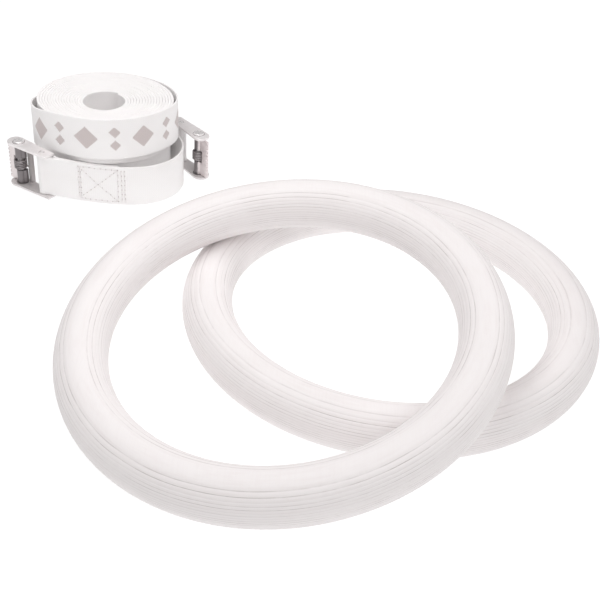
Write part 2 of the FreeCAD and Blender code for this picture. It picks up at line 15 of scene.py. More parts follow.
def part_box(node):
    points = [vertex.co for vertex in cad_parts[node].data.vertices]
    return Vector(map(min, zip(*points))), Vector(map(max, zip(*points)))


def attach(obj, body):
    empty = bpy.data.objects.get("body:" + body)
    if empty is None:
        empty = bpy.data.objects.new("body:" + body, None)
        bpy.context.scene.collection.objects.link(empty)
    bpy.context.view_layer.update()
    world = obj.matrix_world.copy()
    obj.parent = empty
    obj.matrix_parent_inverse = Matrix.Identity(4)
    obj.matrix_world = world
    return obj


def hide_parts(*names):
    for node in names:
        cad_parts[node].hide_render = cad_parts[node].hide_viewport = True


MM = 0.001
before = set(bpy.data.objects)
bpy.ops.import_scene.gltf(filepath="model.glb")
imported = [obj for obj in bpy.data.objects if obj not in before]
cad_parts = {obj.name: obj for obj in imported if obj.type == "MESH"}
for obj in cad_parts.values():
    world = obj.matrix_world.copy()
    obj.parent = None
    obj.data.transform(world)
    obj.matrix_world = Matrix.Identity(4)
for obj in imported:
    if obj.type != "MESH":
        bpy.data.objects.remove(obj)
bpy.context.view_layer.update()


# ---------------------------------------------------------------- meshes

def add_mesh(name, points, faces, uvs=None, smooth=True):
    mesh = bpy.data.meshes.new(name)
    mesh.from_pydata([tuple(point) for point in points], [], faces)
    if smooth:
        mesh.polygons.foreach_set("use_smooth", [True] * len(mesh.polygons))
    if uvs is not None:
        layer = mesh.uv_layers.new(name="cloth")
        corners = [uv for face in uvs for corner in face for uv in corner]
        layer.data.foreach_set("uv", corners)
    mesh.update()
    piece = bpy.data.objects.new(name, mesh)
    bpy.context.scene.collection.objects.link(piece)
    return piece


def quads(rows, columns, close_rows=False, close_columns=True):
    """Faces of a grid of points, row by row, closed round the way that is asked."""
    faces = []
    for row in range(rows if close_rows else rows - 1):
        below, above = row * columns, (row + 1) % rows * columns
        for column in range(columns if close_columns else columns - 1):
            beside = (column + 1) % columns
            faces.append((below + column, below + beside, above + beside, above + column))
    return faces


# ---------------------------------------------------------------- materials

class Graph:
    """A material's nodes, with short calls for the sums that the patterns need."""

    def __init__(self, name):
        self.material = bpy.data.materials.new(name)
        self.material.use_nodes = True
        self.tree = self.material.node_tree
        self.tree.nodes.clear()
        output = self.tree.nodes.new("ShaderNodeOutputMaterial")
        self.shader = self.tree.nodes.new("ShaderNodeBsdfPrincipled")
        self.tree.links.new(self.shader.outputs[0], output.inputs[0])

    def node(self, kind, inputs=(), **settings):
        made = self.tree.nodes.new(kind)
        for key, value in settings.items():
            setattr(made, key, value)
        for key, value in dict(inputs).items():
            self.plug(value, made.inputs[key])
        return made

    def plug(self, value, socket):
        if isinstance(value, bpy.types.NodeSocket):
            self.tree.links.new(value, socket)
        else:
            socket.default_value = value

    def sum(self, operation, *values):
        return self.node("ShaderNodeMath", enumerate(values), operation=operation).outputs[0]

    def ramp(self, value, low, high, start=0.0, end=1.0):
        """start where value is at or under low, end where it is at or over high, eased between."""
        inputs = {"Value": value, "From Min": low, "From Max": high, "To Min": start, "To Max": end}
        made = self.node("ShaderNodeMapRange", inputs, interpolation_type="SMOOTHSTEP")
        return made.outputs["Result"]

    def noise(self, vector, scale, detail=3.0, rough=0.5):
        inputs = {"Vector": vector, "Scale": scale, "Detail": detail, "Roughness": rough}
        return self.node("ShaderNodeTexNoise", inputs).outputs["Fac"]

    def blend(self, share, first, second):
        made = self.node("ShaderNodeMix", {0: share, 6: first, 7: second}, data_type="RGBA")
        return made.outputs[2]

    def bump(self, height, distance, strength=1.0):
        inputs = {"Height": height, "Distance": distance, "Strength": strength}
        self.plug(self.node("ShaderNodeBump", inputs).outputs[0], self.shader.inputs["Normal"])

    def finish(self, colour=None, roughness=None, **constants):
        if colour is not None:
            self.plug(colour, self.shader.inputs["Base Color"])
        if roughness is not None:
            self.plug(roughness, self.shader.inputs["Roughness"])
        for key, value in constants.items():
            self.shader.inputs[key.replace("_", " ")].default_value = value
        return self.material


def rgb(red, green, blue):
    return (red, green, blue, 1.0)


PLY = 1.4
CREST = 13.5
WOOD_PALE = rgb(0.882, 0.847, 0.845)
WOOD_WARM = rgb(0.836, 0.788, 0.784)
GLUE_LINE = rgb(0.50, 0.45, 0.447)


def plywood(name, ring_axes, shift, seed):
    """Pale plywood: flat veneers, stacked along the ring's own axis, with a glue line between.

    shift is the height, in millimetres, of a glue line beside the middle of the tube.
    """
    graph = Graph(name)
    place = graph.node("ShaderNodeTexCoord").outputs["Object"]
    own = graph.node("ShaderNodeMapping", {"Vector": place, "Location": ring_axes.translation,
                                           "Rotation": ring_axes.to_euler()}, vector_type="TEXTURE")
    in_mm = graph.node("ShaderNodeVectorMath", {0: own.outputs[0], "Scale": 1.0 / MM},
                       operation="SCALE")
    shifted = graph.node("ShaderNodeVectorMath", {0: in_mm.outputs[0], 1: (seed, seed, 0.0)},
                         operation="ADD")
    here = shifted.outputs[0]
    height = graph.node("ShaderNodeSeparateXYZ", {0: here}).outputs["Z"]
    height = graph.sum("MINIMUM", graph.sum("MAXIMUM", height, -CREST), CREST)
    wander = graph.sum("MULTIPLY", graph.sum("SUBTRACT", graph.noise(here, 0.03, 2.0), 0.5), 0.35)
    level = graph.sum("DIVIDE", graph.sum("SUBTRACT", graph.sum("ADD", height, wander), shift), PLY)
    index = graph.sum("FLOOR", level)
    nearest = graph.sum("FLOOR", graph.sum("ADD", level, 0.5))
    from_edge = graph.sum("ABSOLUTE", graph.sum("SUBTRACT", level, nearest))
    tint = graph.node("ShaderNodeTexWhiteNoise", {"W": graph.sum("ADD", index, seed + 0.5)},
                      noise_dimensions="1D").outputs["Value"]
    boldness = graph.node("ShaderNodeTexWhiteNoise", {"W": graph.sum("ADD", nearest, seed + 0.25)},
                          noise_dimensions="1D").outputs["Value"]
    across = graph.sum("MODULO", graph.sum("ABSOLUTE", index), 2.0)
    along_x = graph.node("ShaderNodeMapping", {"Vector": here, "Scale": (0.02, 0.55, 0.5)})
    along_y = graph.node("ShaderNodeMapping", {"Vector": here, "Scale": (0.55, 0.02, 0.5)})
    grain_x = graph.noise(along_x.outputs[0], 1.6, 5.0, 0.62)
    grain_y = graph.noise(along_y.outputs[0], 1.6, 5.0, 0.62)
    flip = graph.node("ShaderNodeMix", {0: across, 2: grain_x, 3: grain_y}, data_type="FLOAT")
    grain = flip.outputs[0]
    flat = graph.node("ShaderNodeMapping", {"Vector": here, "Scale": (0.035, 0.035, 2.4)})
    strata = graph.noise(flat.outputs[0], 1.0, 4.0, 0.65)
    speckle = graph.noise(here, 2.2, 3.0, 0.7)
    warm = graph.sum("ADD", graph.sum("MULTIPLY", tint, 0.30),
                     graph.sum("MULTIPLY", graph.ramp(grain, 0.40, 0.68), 0.22))
    warm = graph.sum("ADD", warm, graph.sum("MULTIPLY", graph.ramp(strata, 0.42, 0.66), 0.45))
    colour = graph.blend(warm, WOOD_PALE, WOOD_WARM)
    broken = graph.ramp(graph.noise(here, 0.045, 4.0, 0.65), 0.34, 0.62, 0.15, 1.0)
    bold = graph.ramp(boldness, 0.15, 0.95, 0.25, 1.0)
    line = graph.sum("MULTIPLY", graph.ramp(from_edge, 0.03, 0.11, 1.0, 0.0), broken)
    line = graph.sum("MULTIPLY", line, bold)
    colour = graph.blend(graph.sum("MULTIPLY", line, 0.85), colour, GLUE_LINE)
    relief = graph.sum("ADD", graph.sum("MULTIPLY", strata, 0.5), graph.sum("MULTIPLY", speckle, 0.3))
    relief = graph.sum("SUBTRACT", relief, graph.sum("MULTIPLY", line, 0.6))
    graph.bump(relief, 0.10 * MM, 0.4)
    return graph.finish(colour, graph.ramp(grain, 0.3, 0.8, 0.52, 0.66), Specular_IOR_Level=0.35)


WEBBING_PALE = rgb(0.955, 0.938, 0.936)
WEBBING_SHADE = rgb(0.85, 0.815, 0.81)
MOTIF_TAUPE = rgb(0.68, 0.61, 0.60)
MOTIF_SHADE = rgb(0.56, 0.495, 0.49)
RIB_PITCH = 1.25
WARP_PITCH = 0.9
MOTIF_PITCH = 18.5
MOTIF_HALF = 8.0
SMALL_MOTIF_HALF = 3.9
SMALL_MOTIF_OFFSET = 4.6
MOTIF_RIGHT_BEARING = 12.0
MOTIF_LEFT_BEARING = -160.0
BACK_OFFSET = 1.0


def webbing(name, motif_from=None, motif_to=None):
    """Pale woven strap: cross ribs under fine warp threads, painted shade in the weave's low parts,
    and a row of woven diamonds.
    """
    graph = Graph(name)
    cloth = graph.node("ShaderNodeUVMap", uv_map="cloth").outputs[0]
    in_mm = graph.node("ShaderNodeVectorMath", {0: cloth, "Scale": 1.0 / MM}, operation="SCALE")
    here = in_mm.outputs[0]
    parts = graph.node("ShaderNodeSeparateXYZ", {0: here})
    along, across = parts.outputs["X"], parts.outputs["Y"]
    thread_level = graph.sum("DIVIDE", across, WARP_PITCH)
    thread = graph.sum("FLOOR", thread_level)
    odd = graph.sum("MULTIPLY", graph.sum("MODULO", thread, 2.0), math.pi)
    rib_turn = graph.sum("ADD", graph.sum("MULTIPLY", along, 2.0 * math.pi / RIB_PITCH), odd)
    rib = graph.sum("ADD", graph.sum("MULTIPLY", graph.sum("SINE", rib_turn), 0.5), 0.5)
    thread_share = graph.sum("SUBTRACT", thread_level, thread)
    thread_crown = graph.sum("SINE", graph.sum("MULTIPLY", thread_share, math.pi))
    column = graph.sum("SINE", graph.sum("MULTIPLY", along, math.pi / RIB_PITCH))
    ribbing = graph.sum("ABSOLUTE", column)
    weave = graph.sum("MULTIPLY", graph.ramp(rib, 0.1, 0.9, 0.35, 1.0), thread_crown)
    height = graph.sum("ADD", graph.sum("MULTIPLY", weave, 0.7),
                       graph.sum("MULTIPLY", ribbing, 0.3))
    cloudy = graph.noise(here, 0.05, 3.0)
    # Painted shade in the low parts of the weave, plus a cloudy tone of the cloth.
    weave_shade_and_cloud = graph.sum("ADD", graph.ramp(height, 0.15, 0.6, 0.5, 0.0),
                      graph.ramp(cloudy, 0.4, 0.8, 0.0, 0.25))
    colour = graph.blend(weave_shade_and_cloud, WEBBING_PALE, WEBBING_SHADE)
    if motif_from is not None:
        mask = motif_row(graph, along, across, motif_from, motif_to)
        # Painted shade on the motif's low threads as well.
        dull = graph.blend(graph.ramp(height, 0.2, 0.8), MOTIF_SHADE, MOTIF_TAUPE)
        colour = graph.blend(mask, colour, dull)
    graph.bump(height, 0.16 * MM, 0.55)
    return graph.finish(colour, 0.86, Sheen_Weight=0.25, Specular_IOR_Level=0.2)


def motif_row(graph, along, across, start, end):
    """1 inside the woven diamonds, stepped thread by thread, and 0 outside."""
    stepped = graph.sum("MULTIPLY", graph.sum("FLOOR", graph.sum("DIVIDE", along, WARP_PITCH)),
                        WARP_PITCH)
    raised = graph.sum("MULTIPLY", graph.sum("FLOOR", graph.sum("DIVIDE", across, WARP_PITCH)),
                       WARP_PITCH)
    level = graph.sum("DIVIDE", graph.sum("SUBTRACT", stepped, start / MM), MOTIF_PITCH)
    number = graph.sum("FLOOR", level)
    sideways = graph.sum("ABSOLUTE", graph.sum(
        "MULTIPLY", graph.sum("SUBTRACT", graph.sum("SUBTRACT", level, number), 0.5), MOTIF_PITCH))
    middle = frame_width / 2.0 / MM
    upward = graph.sum("ABSOLUTE", graph.sum("SUBTRACT", raised, middle))
    large = graph.sum("LESS_THAN", graph.sum("ADD", sideways, upward), MOTIF_HALF)
    from_small = graph.sum("ABSOLUTE", graph.sum("SUBTRACT", upward, SMALL_MOTIF_OFFSET))
    small = graph.sum("LESS_THAN", graph.sum("ADD", sideways, from_small), SMALL_MOTIF_HALF)
    odd = graph.sum("MODULO", graph.sum("ABSOLUTE", number), 2.0)
    shape = graph.node("ShaderNodeMix", {0: odd, 2: large, 3: small}, data_type="FLOAT").outputs[0]
    inside = graph.sum("MULTIPLY", graph.sum("GREATER_THAN", along, start / MM),
                       graph.sum("LESS_THAN", along, end / MM))
    return graph.sum("MULTIPLY", shape, inside)


def sewing_thread(name):
    graph = Graph(name)
    place = graph.node("ShaderNodeTexCoord").outputs["Object"]
    twist = graph.node("ShaderNodeTexWave", {"Vector": place, "Scale": 900.0, "Distortion": 1.5},
                       bands_direction="DIAGONAL").outputs["Fac"]
    colour = graph.blend(twist, rgb(0.80, 0.76, 0.755), rgb(0.95, 0.93, 0.93))
    graph.bump(twist, 0.08 * MM, 0.6)
    return graph.finish(colour, 0.6, Sheen_Weight=0.2)


# Painted shade of the needle holes: dark grey-pink capsules laid where the holes' shade falls beside
# each stitch.
def needle_hole_shade(name):
    graph = Graph(name)
    place = graph.node("ShaderNodeTexCoord").outputs["Object"]
    colour = graph.blend(graph.noise(place, 900.0), rgb(0.50, 0.44, 0.44), rgb(0.64, 0.58, 0.58))
    return graph.finish(colour, 0.9)


def metal(name, dark, light, rough, brushed_along, metallic, painted_shade_call=None, shade_tint=None):
    """Plated metal with fine drawn lines, a cloudy plating and specks.

    The optional call turns (graph, place) into the share of painted shade on the plating, blended in
    the given shade colour.
    """
    graph = Graph(name)
    place = graph.node("ShaderNodeTexCoord").outputs["Object"]
    stretched = graph.node("ShaderNodeMapping", {"Vector": place, "Scale": brushed_along})
    lines = graph.noise(stretched.outputs[0], 1400.0, 4.0, 0.6)
    clouds = graph.noise(place, 160.0, 3.0)
    pits = graph.ramp(graph.noise(place, 1100.0, 2.0), 0.70, 0.80)
    colour = graph.blend(graph.ramp(clouds, 0.3, 0.7), dark, light)
    colour = graph.blend(graph.sum("MULTIPLY", pits, 0.12), colour, rgb(0.25, 0.24, 0.24))
    # painted shade blended over the plating
    if painted_shade_call is not None:
        colour = graph.blend(painted_shade_call(graph, place), colour, shade_tint)
    roughness = graph.sum("ADD", graph.ramp(lines, 0.3, 0.7, rough - 0.06, rough + 0.08),
                          graph.sum("MULTIPLY", clouds, 0.08))
    graph.bump(graph.sum("SUBTRACT", lines, pits), 0.05 * MM, 0.2)
    return graph.finish(colour, roughness, Metallic=metallic)


# Painted shade on the frame: the dark ring round the rivet head, and how far the clamp bar and lower
# side plate are darkened.
RIVET_SHADE_RING = (3.8 * MM, 4.3 * MM)
PLATE_FADE = (0.1 * MM, 0.6 * MM)
BAR_SHADE = 0.62
LOW_PLATE_SHADE = 0.45


def painted_shade_on_frame(axis, low_plate, high_plate):
    """Painted shade: a thin dark ring round the rivet head, a shaded clamp bar and a shaded lower
    side plate.
    """
    def share(graph, place):
        apart = graph.node("ShaderNodeVectorMath", {0: place, 1: axis}, operation="SUBTRACT")
        level = graph.node("ShaderNodeVectorMath", {0: apart.outputs[0], 1: (1.0, 1.0, 0.0)},
                           operation="MULTIPLY")
        far = graph.node("ShaderNodeVectorMath", {0: level.outputs[0]}, operation="LENGTH")
        ring = graph.ramp(far.outputs["Value"], *RIVET_SHADE_RING, 1.0, 0.0)
        height = graph.node("ShaderNodeSeparateXYZ", {0: place}).outputs["Z"]
        near, far_off = PLATE_FADE
        below_top = graph.ramp(height, high_plate - far_off, high_plate - near, BAR_SHADE, 0.0)
        above_low = graph.ramp(height, low_plate + near, low_plate + far_off, LOW_PLATE_SHADE, 1.0)
        bar = graph.sum("MULTIPLY", below_top, above_low)
        return graph.sum("MAXIMUM", ring, bar)
    return share


def painted_shade_behind(axis, tail):
    """Dark painted shade on a lever's half on the side of its pin where the cam is."""
    def share(graph, place):
        apart = graph.node("ShaderNodeVectorMath", {0: place, 1: axis}, operation="SUBTRACT")
        reach = graph.node("ShaderNodeVectorMath", {0: apart.outputs[0], 1: tail},
                           operation="DOT_PRODUCT").outputs["Value"]
        ragged_reach = graph.sum("ADD", reach, graph.sum("MULTIPLY", graph.noise(place, 500.0), 0.8 * MM))
        return graph.ramp(ragged_reach, -2.2 * MM, -1.2 * MM)
    return share


# ---------------------------------------------------------------- rings

RING_STEPS = 288
GROOVE_DEPTH = 0.05 * MM
GROOVE_HALF_WIDTH = 0.13 * MM
GROOVE_CLEARANCE = 0.5 * MM
PROFILE_STEP = 1.6 * MM


def ring_place(node):
    """Matrix of a ring's own axes, its outer radius and its tube's radius, from its CAD mesh."""
    points = np.array([vertex.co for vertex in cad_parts[node].data.vertices], float)
    low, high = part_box(node)
    centre = (low + high) / 2.0
    spread = points - np.array(centre)
    axis = np.linalg.eigh(spread.T @ spread)[1][:, 0]
    axis = Vector(axis if axis[2] > 0 else -axis)
    tube = float(np.abs(spread @ np.array(axis)).max())
    outer = float(np.linalg.norm(spread - np.outer(spread @ np.array(axis), axis), axis=1).max())
    turn = Vector((0, 0, 1)).rotation_difference(axis).to_matrix().to_4x4()
    return Matrix.Translation(centre) @ turn, outer, tube


def tube_profile(tube, shift):
    """(distance from the tube's middle, height) round the tube, dented a little at each glue line."""
    plies = int(tube / (PLY * MM)) + 1
    heights = [(index * PLY + shift) * MM for index in range(-plies, plies + 1)]
    heights = [level for level in heights if abs(level) < tube - GROOVE_CLEARANCE]
    turns = []
    for level in heights:
        middle = math.asin(level / tube)
        half = GROOVE_HALF_WIDTH / tube
        turns += [(middle - half, 0.0), (middle, GROOVE_DEPTH), (middle + half, 0.0)]
    turns = [(-math.pi / 2.0, 0.0)] + turns + [(math.pi / 2.0, 0.0)]
    filled = []
    for (start, dent), (end, _) in zip(turns, turns[1:]):
        count = max(1, int((end - start) * tube / PROFILE_STEP))
        filled.append((start, dent))
        filled += [(start + (end - start) * step / count, 0.0) for step in range(1, count)]
    right_side = [((tube - dent) * math.cos(turn), (tube - dent) * math.sin(turn))
                  for turn, dent in filled + [turns[-1]]]
    left_side = [(-x, y) for x, y in reversed(right_side[1:-1])]
    return right_side + left_side


def build_ring(node, shift, seed):
    place, outer, tube = ring_place(node)
    profile = tube_profile(tube, shift)
    points = []
    for step in range(RING_STEPS):
        turn = 2.0 * math.pi * step / RING_STEPS
        for x, z in profile:
            radius = outer - tube + x
            points.append((radius * math.cos(turn), radius * math.sin(turn), z))
    faces = quads(RING_STEPS, len(profile), close_rows=True)
    ring = add_mesh(node + "_plywood", [place @ Vector(point) for point in points], faces)
    ring.data.materials.append(plywood(node + "_plies", place, shift, seed))
    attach(ring, node)
    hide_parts(node)


# ---------------------------------------------------------------- straps

roll_low, roll_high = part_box("lower_strap_roll")
upper_low, upper_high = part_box("upper_strap_roll")
frame_width = roll_high.z - roll_low.z
STACK = Vector(((roll_low.x + roll_high.x) / 2.0, (roll_low.y + roll_high.y) / 2.0, 0.0))
UPPER_CENTRE = Vector(((upper_low.x + upper_high.x) / 2.0, (upper_low.y + upper_high.y) / 2.0, 0.0))
THICKNESS = 1.2 * MM
CORE_RADIUS = 13.3 * MM
CORE_SETBACK = 5.5 * MM
SEWN_LENGTH = 52.0 * MM
FOLD_LEAD = 5.0 * MM
FOLD_MERGE = 12.0 * MM
LAYER_GAP = 0.05 * MM
BAR_PLAY = 0.15 * MM
PATH_STEP = 1.5 * MM
FOLD_STEPS = 12
UPPER_TURNS = 17
LOWER_TURNS = 14
ROLL_GAP = 0.10 * MM
PUFFED_THICKNESS = 1.75 * MM
PUFF_EASE = 1.2
EDGE_WANDER = 0.22 * MM

# The loose stretch of each strap, as in the CAD model. Upper: bearing from the roll's middle, gap
# to the roll and height of the lower edge. Lower: place from the stack's middle and height.
UPPER_KNOTS = (
    (62.0, 0.75, 28.5), (35.0, 1.4, 29.2), (0.0, 2.6, 31.2), (-35.0, 2.2, 32.8), (-90.0, 1.9, 32.8),
    (-118.0, 2.0, 32.4), (-136.0, 2.7, 30.6), (-156.0, 3.9, 27.1), (-180.0, 4.9, 23.2),
    (-200.0, 4.9, 19.6), (-218.0, 5.0, 15.6), (-240.0, 5.0, 10.8), (-262.0, 5.4, 6.9),
    (-284.0, 6.4, 4.4), (-303.0, 8.6, 3.2), (-316.0, 10.8, 2.85),
)
LOWER_POINTS = (
    (3.0, 38.0, 0.0), (14.6, 36.0, 0.0), (27.4, 29.8, 0.0), (38.6, 19.8, 0.0), (47.4, 8.4, 0.0),
    (51.8, -6.0, 0.0), (49.4, -20.0, 0.0), (41.0, -31.4, 0.0), (29.0, -38.0, 0.0),
    (15.0, -40.4, 0.0), (0.0, -40.9, 0.4), (-14.0, -41.0, 1.5), (-24.0, -40.9, 2.7),
)
LOWER_STRAP_HEADING = -5.0


def cubic_through(points):
    """Even samples, PATH_STEP apart, of the smooth cubic spline through the points."""
    knots = np.array(points, float)
    spans = np.linalg.norm(np.diff(knots, axis=0), axis=1)
    places = np.concatenate([[0.0], np.cumsum(spans)])
    size = len(knots)
    matrix, right = np.eye(size), np.zeros_like(knots)
    for row in range(1, size - 1):
        before, after = spans[row - 1], spans[row]
        matrix[row, row - 1:row + 2] = before, 2.0 * (before + after), after
        slopes = (knots[row + 1] - knots[row]) / after - (knots[row] - knots[row - 1]) / before
        right[row] = 6.0 * slopes
    bends = np.linalg.solve(matrix, right)
    at = np.linspace(0.0, places[-1], int(places[-1] / PATH_STEP) + 1)
    span = np.clip(np.searchsorted(places, at, side="right") - 1, 0, size - 2)
    width = spans[span][:, None]
    after = ((at - places[span]) / spans[span])[:, None]
    before = 1.0 - after
    curve = before * knots[span] + after * knots[span + 1]
    curve += ((before ** 3 - before) * bends[span] + (after ** 3 - after) * bends[span + 1]) \
        * width ** 2 / 6.0
    return curve


def oval(half_width, half_depth, turn):
    return 1.0 / math.hypot(math.cos(turn) / half_width, math.sin(turn) / half_depth)


def spiral(centre, half_width, half_depth, end, turns, base, seed):
    """The rolled part of a strap, from its core out to the point where its loose turn starts.

    Gives its points, and how much the webbing puffs up at each one to fill the roll.
    """
    draw = random.Random(seed)
    waves = [(draw.uniform(0.0, 2.0 * math.pi), draw.uniform(0.6, 1.0)) for _ in range(turns + 1)]
    end_turn = math.atan2(end.y - centre.y, end.x - centre.x)
    end_gap = math.hypot(end.x - centre.x, end.y - centre.y) - oval(half_width, half_depth, end_turn)
    core = CORE_RADIUS + THICKNESS / 2.0
    points, puffs, turned = [], [], 0.0
    total = 2.0 * math.pi * turns
    wide_pitch = (half_width + end_gap - core) / turns
    deep_pitch = (half_depth + end_gap - core) / turns
    while turned < total:
        done = turned / total
        turn = end_turn + total - turned
        wide = core + (half_width + end_gap - core) * done
        deep = core + (half_depth + end_gap - core) * done
        middle = centre - Vector((0.0, CORE_SETBACK * (1.0 - done), 0.0))
        radius = oval(wide, deep, turn)
        phase, amount = waves[int(turned / (2.0 * math.pi))]
        lift = EDGE_WANDER * amount * math.sin(turn * 2.0 + phase) * min(1.0, 4.0 * (1.0 - done))
        points.append(middle + Vector((radius * math.cos(turn), radius * math.sin(turn),
                                       base + abs(lift))))
        pitch = oval(wide + wide_pitch, deep + deep_pitch, turn) - radius
        pitch += CORE_SETBACK / turns * math.sin(turn)
        puff = min(max(pitch - ROLL_GAP * amount, THICKNESS), PUFFED_THICKNESS) / THICKNESS
        ease = min(1.0, (total - turned) / PUFF_EASE)
        puffs.append(1.0 + (puff - 1.0) * ease)
        turned += PATH_STEP / radius
    return [list(point) for point in points], puffs


def plan_headings(path):
    steps = np.gradient(path[:, :2], axis=0)
    return steps / np.linalg.norm(steps, axis=1)[:, None]


def fold(path, side, bar_radius):
    """The doubled end: round the strap bar from the path's last point and back beside the path."""
    backward = path[::-1]
    headings = plan_headings(backward)
    runs = np.concatenate([[0.0], np.cumsum(np.linalg.norm(np.diff(backward, axis=0), axis=1))])
    kept = runs <= SEWN_LENGTH
    ease = np.clip(1.0 - runs[kept] / FOLD_MERGE, 0.0, 1.0)
    ease = ease * ease * (3.0 - 2.0 * ease)
    layer = THICKNESS + LAYER_GAP
    amounts = side * (layer + (2.0 * bar_radius - layer) * ease)
    left = np.stack([-headings[:, 1], headings[:, 0]], axis=1)
    second = backward[kept].copy()
    second[:, :2] += left[kept] * amounts[:, None]
    sideways, forward = left[0] * side, headings[0]
    arc = []
    for step in range(1, FOLD_STEPS):
        turn = math.pi * step / FOLD_STEPS
        place = path[-1, :2] + sideways * bar_radius * (1.0 - math.cos(turn))
        place = place - forward * bar_radius * math.sin(turn)
        arc.append([place[0], place[1], path[-1, 2]])
    return np.concatenate([path, np.array(arc), second])


def webbing_section():
    """(distance from the strap's middle, height) round the strap, with its two thick selvedges."""
    half, crown = THICKNESS / 2.0, 0.06 * MM
    side = [(half - 0.20 * MM, 0.0), (half - 0.06 * MM, 0.08 * MM), (half, 0.35 * MM),
            (half, 1.6 * MM), (half - crown, 2.2 * MM), (half - crown, frame_width / 2.0)]
    right = side + [(x, frame_width - z) for x, z in reversed(side[:-1])]
    return right + [(-x, z) for x, z in reversed(right)]


def build_strap_mesh(name, path, puffs):
    section = webbing_section()
    headings = plan_headings(path)
    runs = np.concatenate([[0.0], np.cumsum(np.linalg.norm(np.diff(path, axis=0), axis=1))])
    outward = np.stack([-headings[:, 1], headings[:, 0]], axis=1)
    points = []
    for place, normal, puff in zip(path, outward, puffs):
        for across, height in section:
            offset = across * puff
            points.append((place[0] + normal[0] * offset, place[1] + normal[1] * offset,
                           place[2] + height))
    columns = len(section)
    faces = quads(len(path), columns)
    half = columns // 2
    uvs = []
    for face in faces:
        step, column = face[0] // columns, face[0] % columns
        back = 0.0 if column < half else BACK_OFFSET
        low, high = section[column][1] + back, section[(column + 1) % columns][1] + back
        uvs.append(((runs[step], low), (runs[step], high), (runs[step + 1], high),
                    (runs[step + 1], low)))
    last = (len(path) - 1) * columns
    faces += [tuple(reversed(range(columns))), tuple(range(last, last + columns))]
    uvs += [tuple((0.0, height) for _, height in reversed(section)),
            tuple((runs[-1], height) for _, height in section)]
    strap = add_mesh(name, points, faces, uvs)
    strap.data.set_sharp_from_angle(angle=math.radians(60.0))
    return strap, runs


def bearing_points(knots, centre, half_width, half_depth):
    points = []
    for bearing, gap, height in knots:
        turn = math.radians(bearing)
        radius = oval(half_width, half_depth, turn) + gap * MM
        points.append(centre + Vector((radius * math.cos(turn), radius * math.sin(turn),
                                       height * MM)))
    return points


def bar_middle(side):
    low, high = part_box(side + "_buckle_strap_bar")
    return (low + high) / 2.0


def pivot_middle(side):
    low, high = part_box(side + "_buckle_pivot_pin")
    return (low + high) / 2.0


def strap_base():
    """Height of the webbing where it passes round a strap bar."""
    low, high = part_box("left_buckle_pivot_pin")
    return (high.z - low.z - frame_width) / 2.0


def bar_radius(side):
    low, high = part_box(side + "_buckle_strap_bar")
    return (high.x - low.x) / 2.0 + BAR_PLAY + THICKNESS / 2.0


def upper_path():
    half_width = (upper_high.x - upper_low.x) / 2.0
    half_depth = (upper_high.y - upper_low.y) / 2.0
    loose = bearing_points(UPPER_KNOTS, UPPER_CENTRE, half_width, half_depth)
    bar, pivot = bar_middle("right"), pivot_middle("right")
    tail = Vector((bar.x - pivot.x, bar.y - pivot.y, 0.0)).normalized()
    outside = Vector((tail.y, -tail.x, 0.0))
    end = Vector((bar.x, bar.y, strap_base())) + outside * bar_radius("right")
    loose += [end + tail * FOLD_LEAD, end]
    rolled, puffs = spiral(UPPER_CENTRE, half_width, half_depth, loose[0], UPPER_TURNS,
                           upper_low.z, 11)
    path = np.concatenate([np.array(rolled[:-3]), cubic_through([rolled[-3]] + loose)])
    return fold(path, 1, bar_radius("right")), len(path), puffs


def lower_path():
    half_width = (roll_high.x - roll_low.x) / 2.0
    half_depth = (roll_high.y - roll_low.y) / 2.0
    loose = [STACK + Vector(point) * MM for point in LOWER_POINTS]
    heading = math.radians(LOWER_STRAP_HEADING)
    forward = Vector((math.cos(heading), math.sin(heading), 0.0))
    outside = Vector((forward.y, -forward.x, 0.0))
    bar = bar_middle("left")
    end = Vector((bar.x, bar.y, strap_base())) + outside * bar_radius("left")
    loose += [end + forward * FOLD_LEAD, end]
    rolled, puffs = spiral(STACK, half_width, half_depth, loose[0], LOWER_TURNS, roll_low.z, 12)
    path = np.concatenate([np.array(rolled[:-3]), cubic_through([rolled[-3]] + loose)])
    path[:, 2] = np.maximum(path[:, 2], 0.0)
    return fold(path, 1, bar_radius("left")), len(path), puffs


# ---------------------------------------------------------------- stitching

STITCH = 2.5 * MM
STITCH_GAP = 0.9 * MM
THREAD_RADIUS = 0.34 * MM
TACK_RADIUS = 0.52 * MM
BOX_START = 24.9 * MM
BOX_LENGTH = 25.6 * MM
BOX_HEIGHT = 23.5 * MM
START_TACK = 1.3 * MM
END_TACKS = (2.4 * MM, 4.4 * MM)


def face_point(path, count, run, height, lift):
    """Place on the strap's outer face, a run back from the strap bar and a height up the strap."""
    backward = path[:count][::-1]
    headings = plan_headings(backward)
    runs = np.concatenate([[0.0], np.cumsum(np.linalg.norm(np.diff(backward, axis=0), axis=1))])
    place = [np.interp(run, runs, backward[:, axis]) for axis in range(3)]
    heading = [np.interp(run, runs, headings[:, axis]) for axis in range(2)]
    outward = Vector((heading[1], -heading[0], 0.0)).normalized()
    return Vector(place) + Vector((0.0, 0.0, height)) + outward * (THICKNESS / 2.0 + lift)


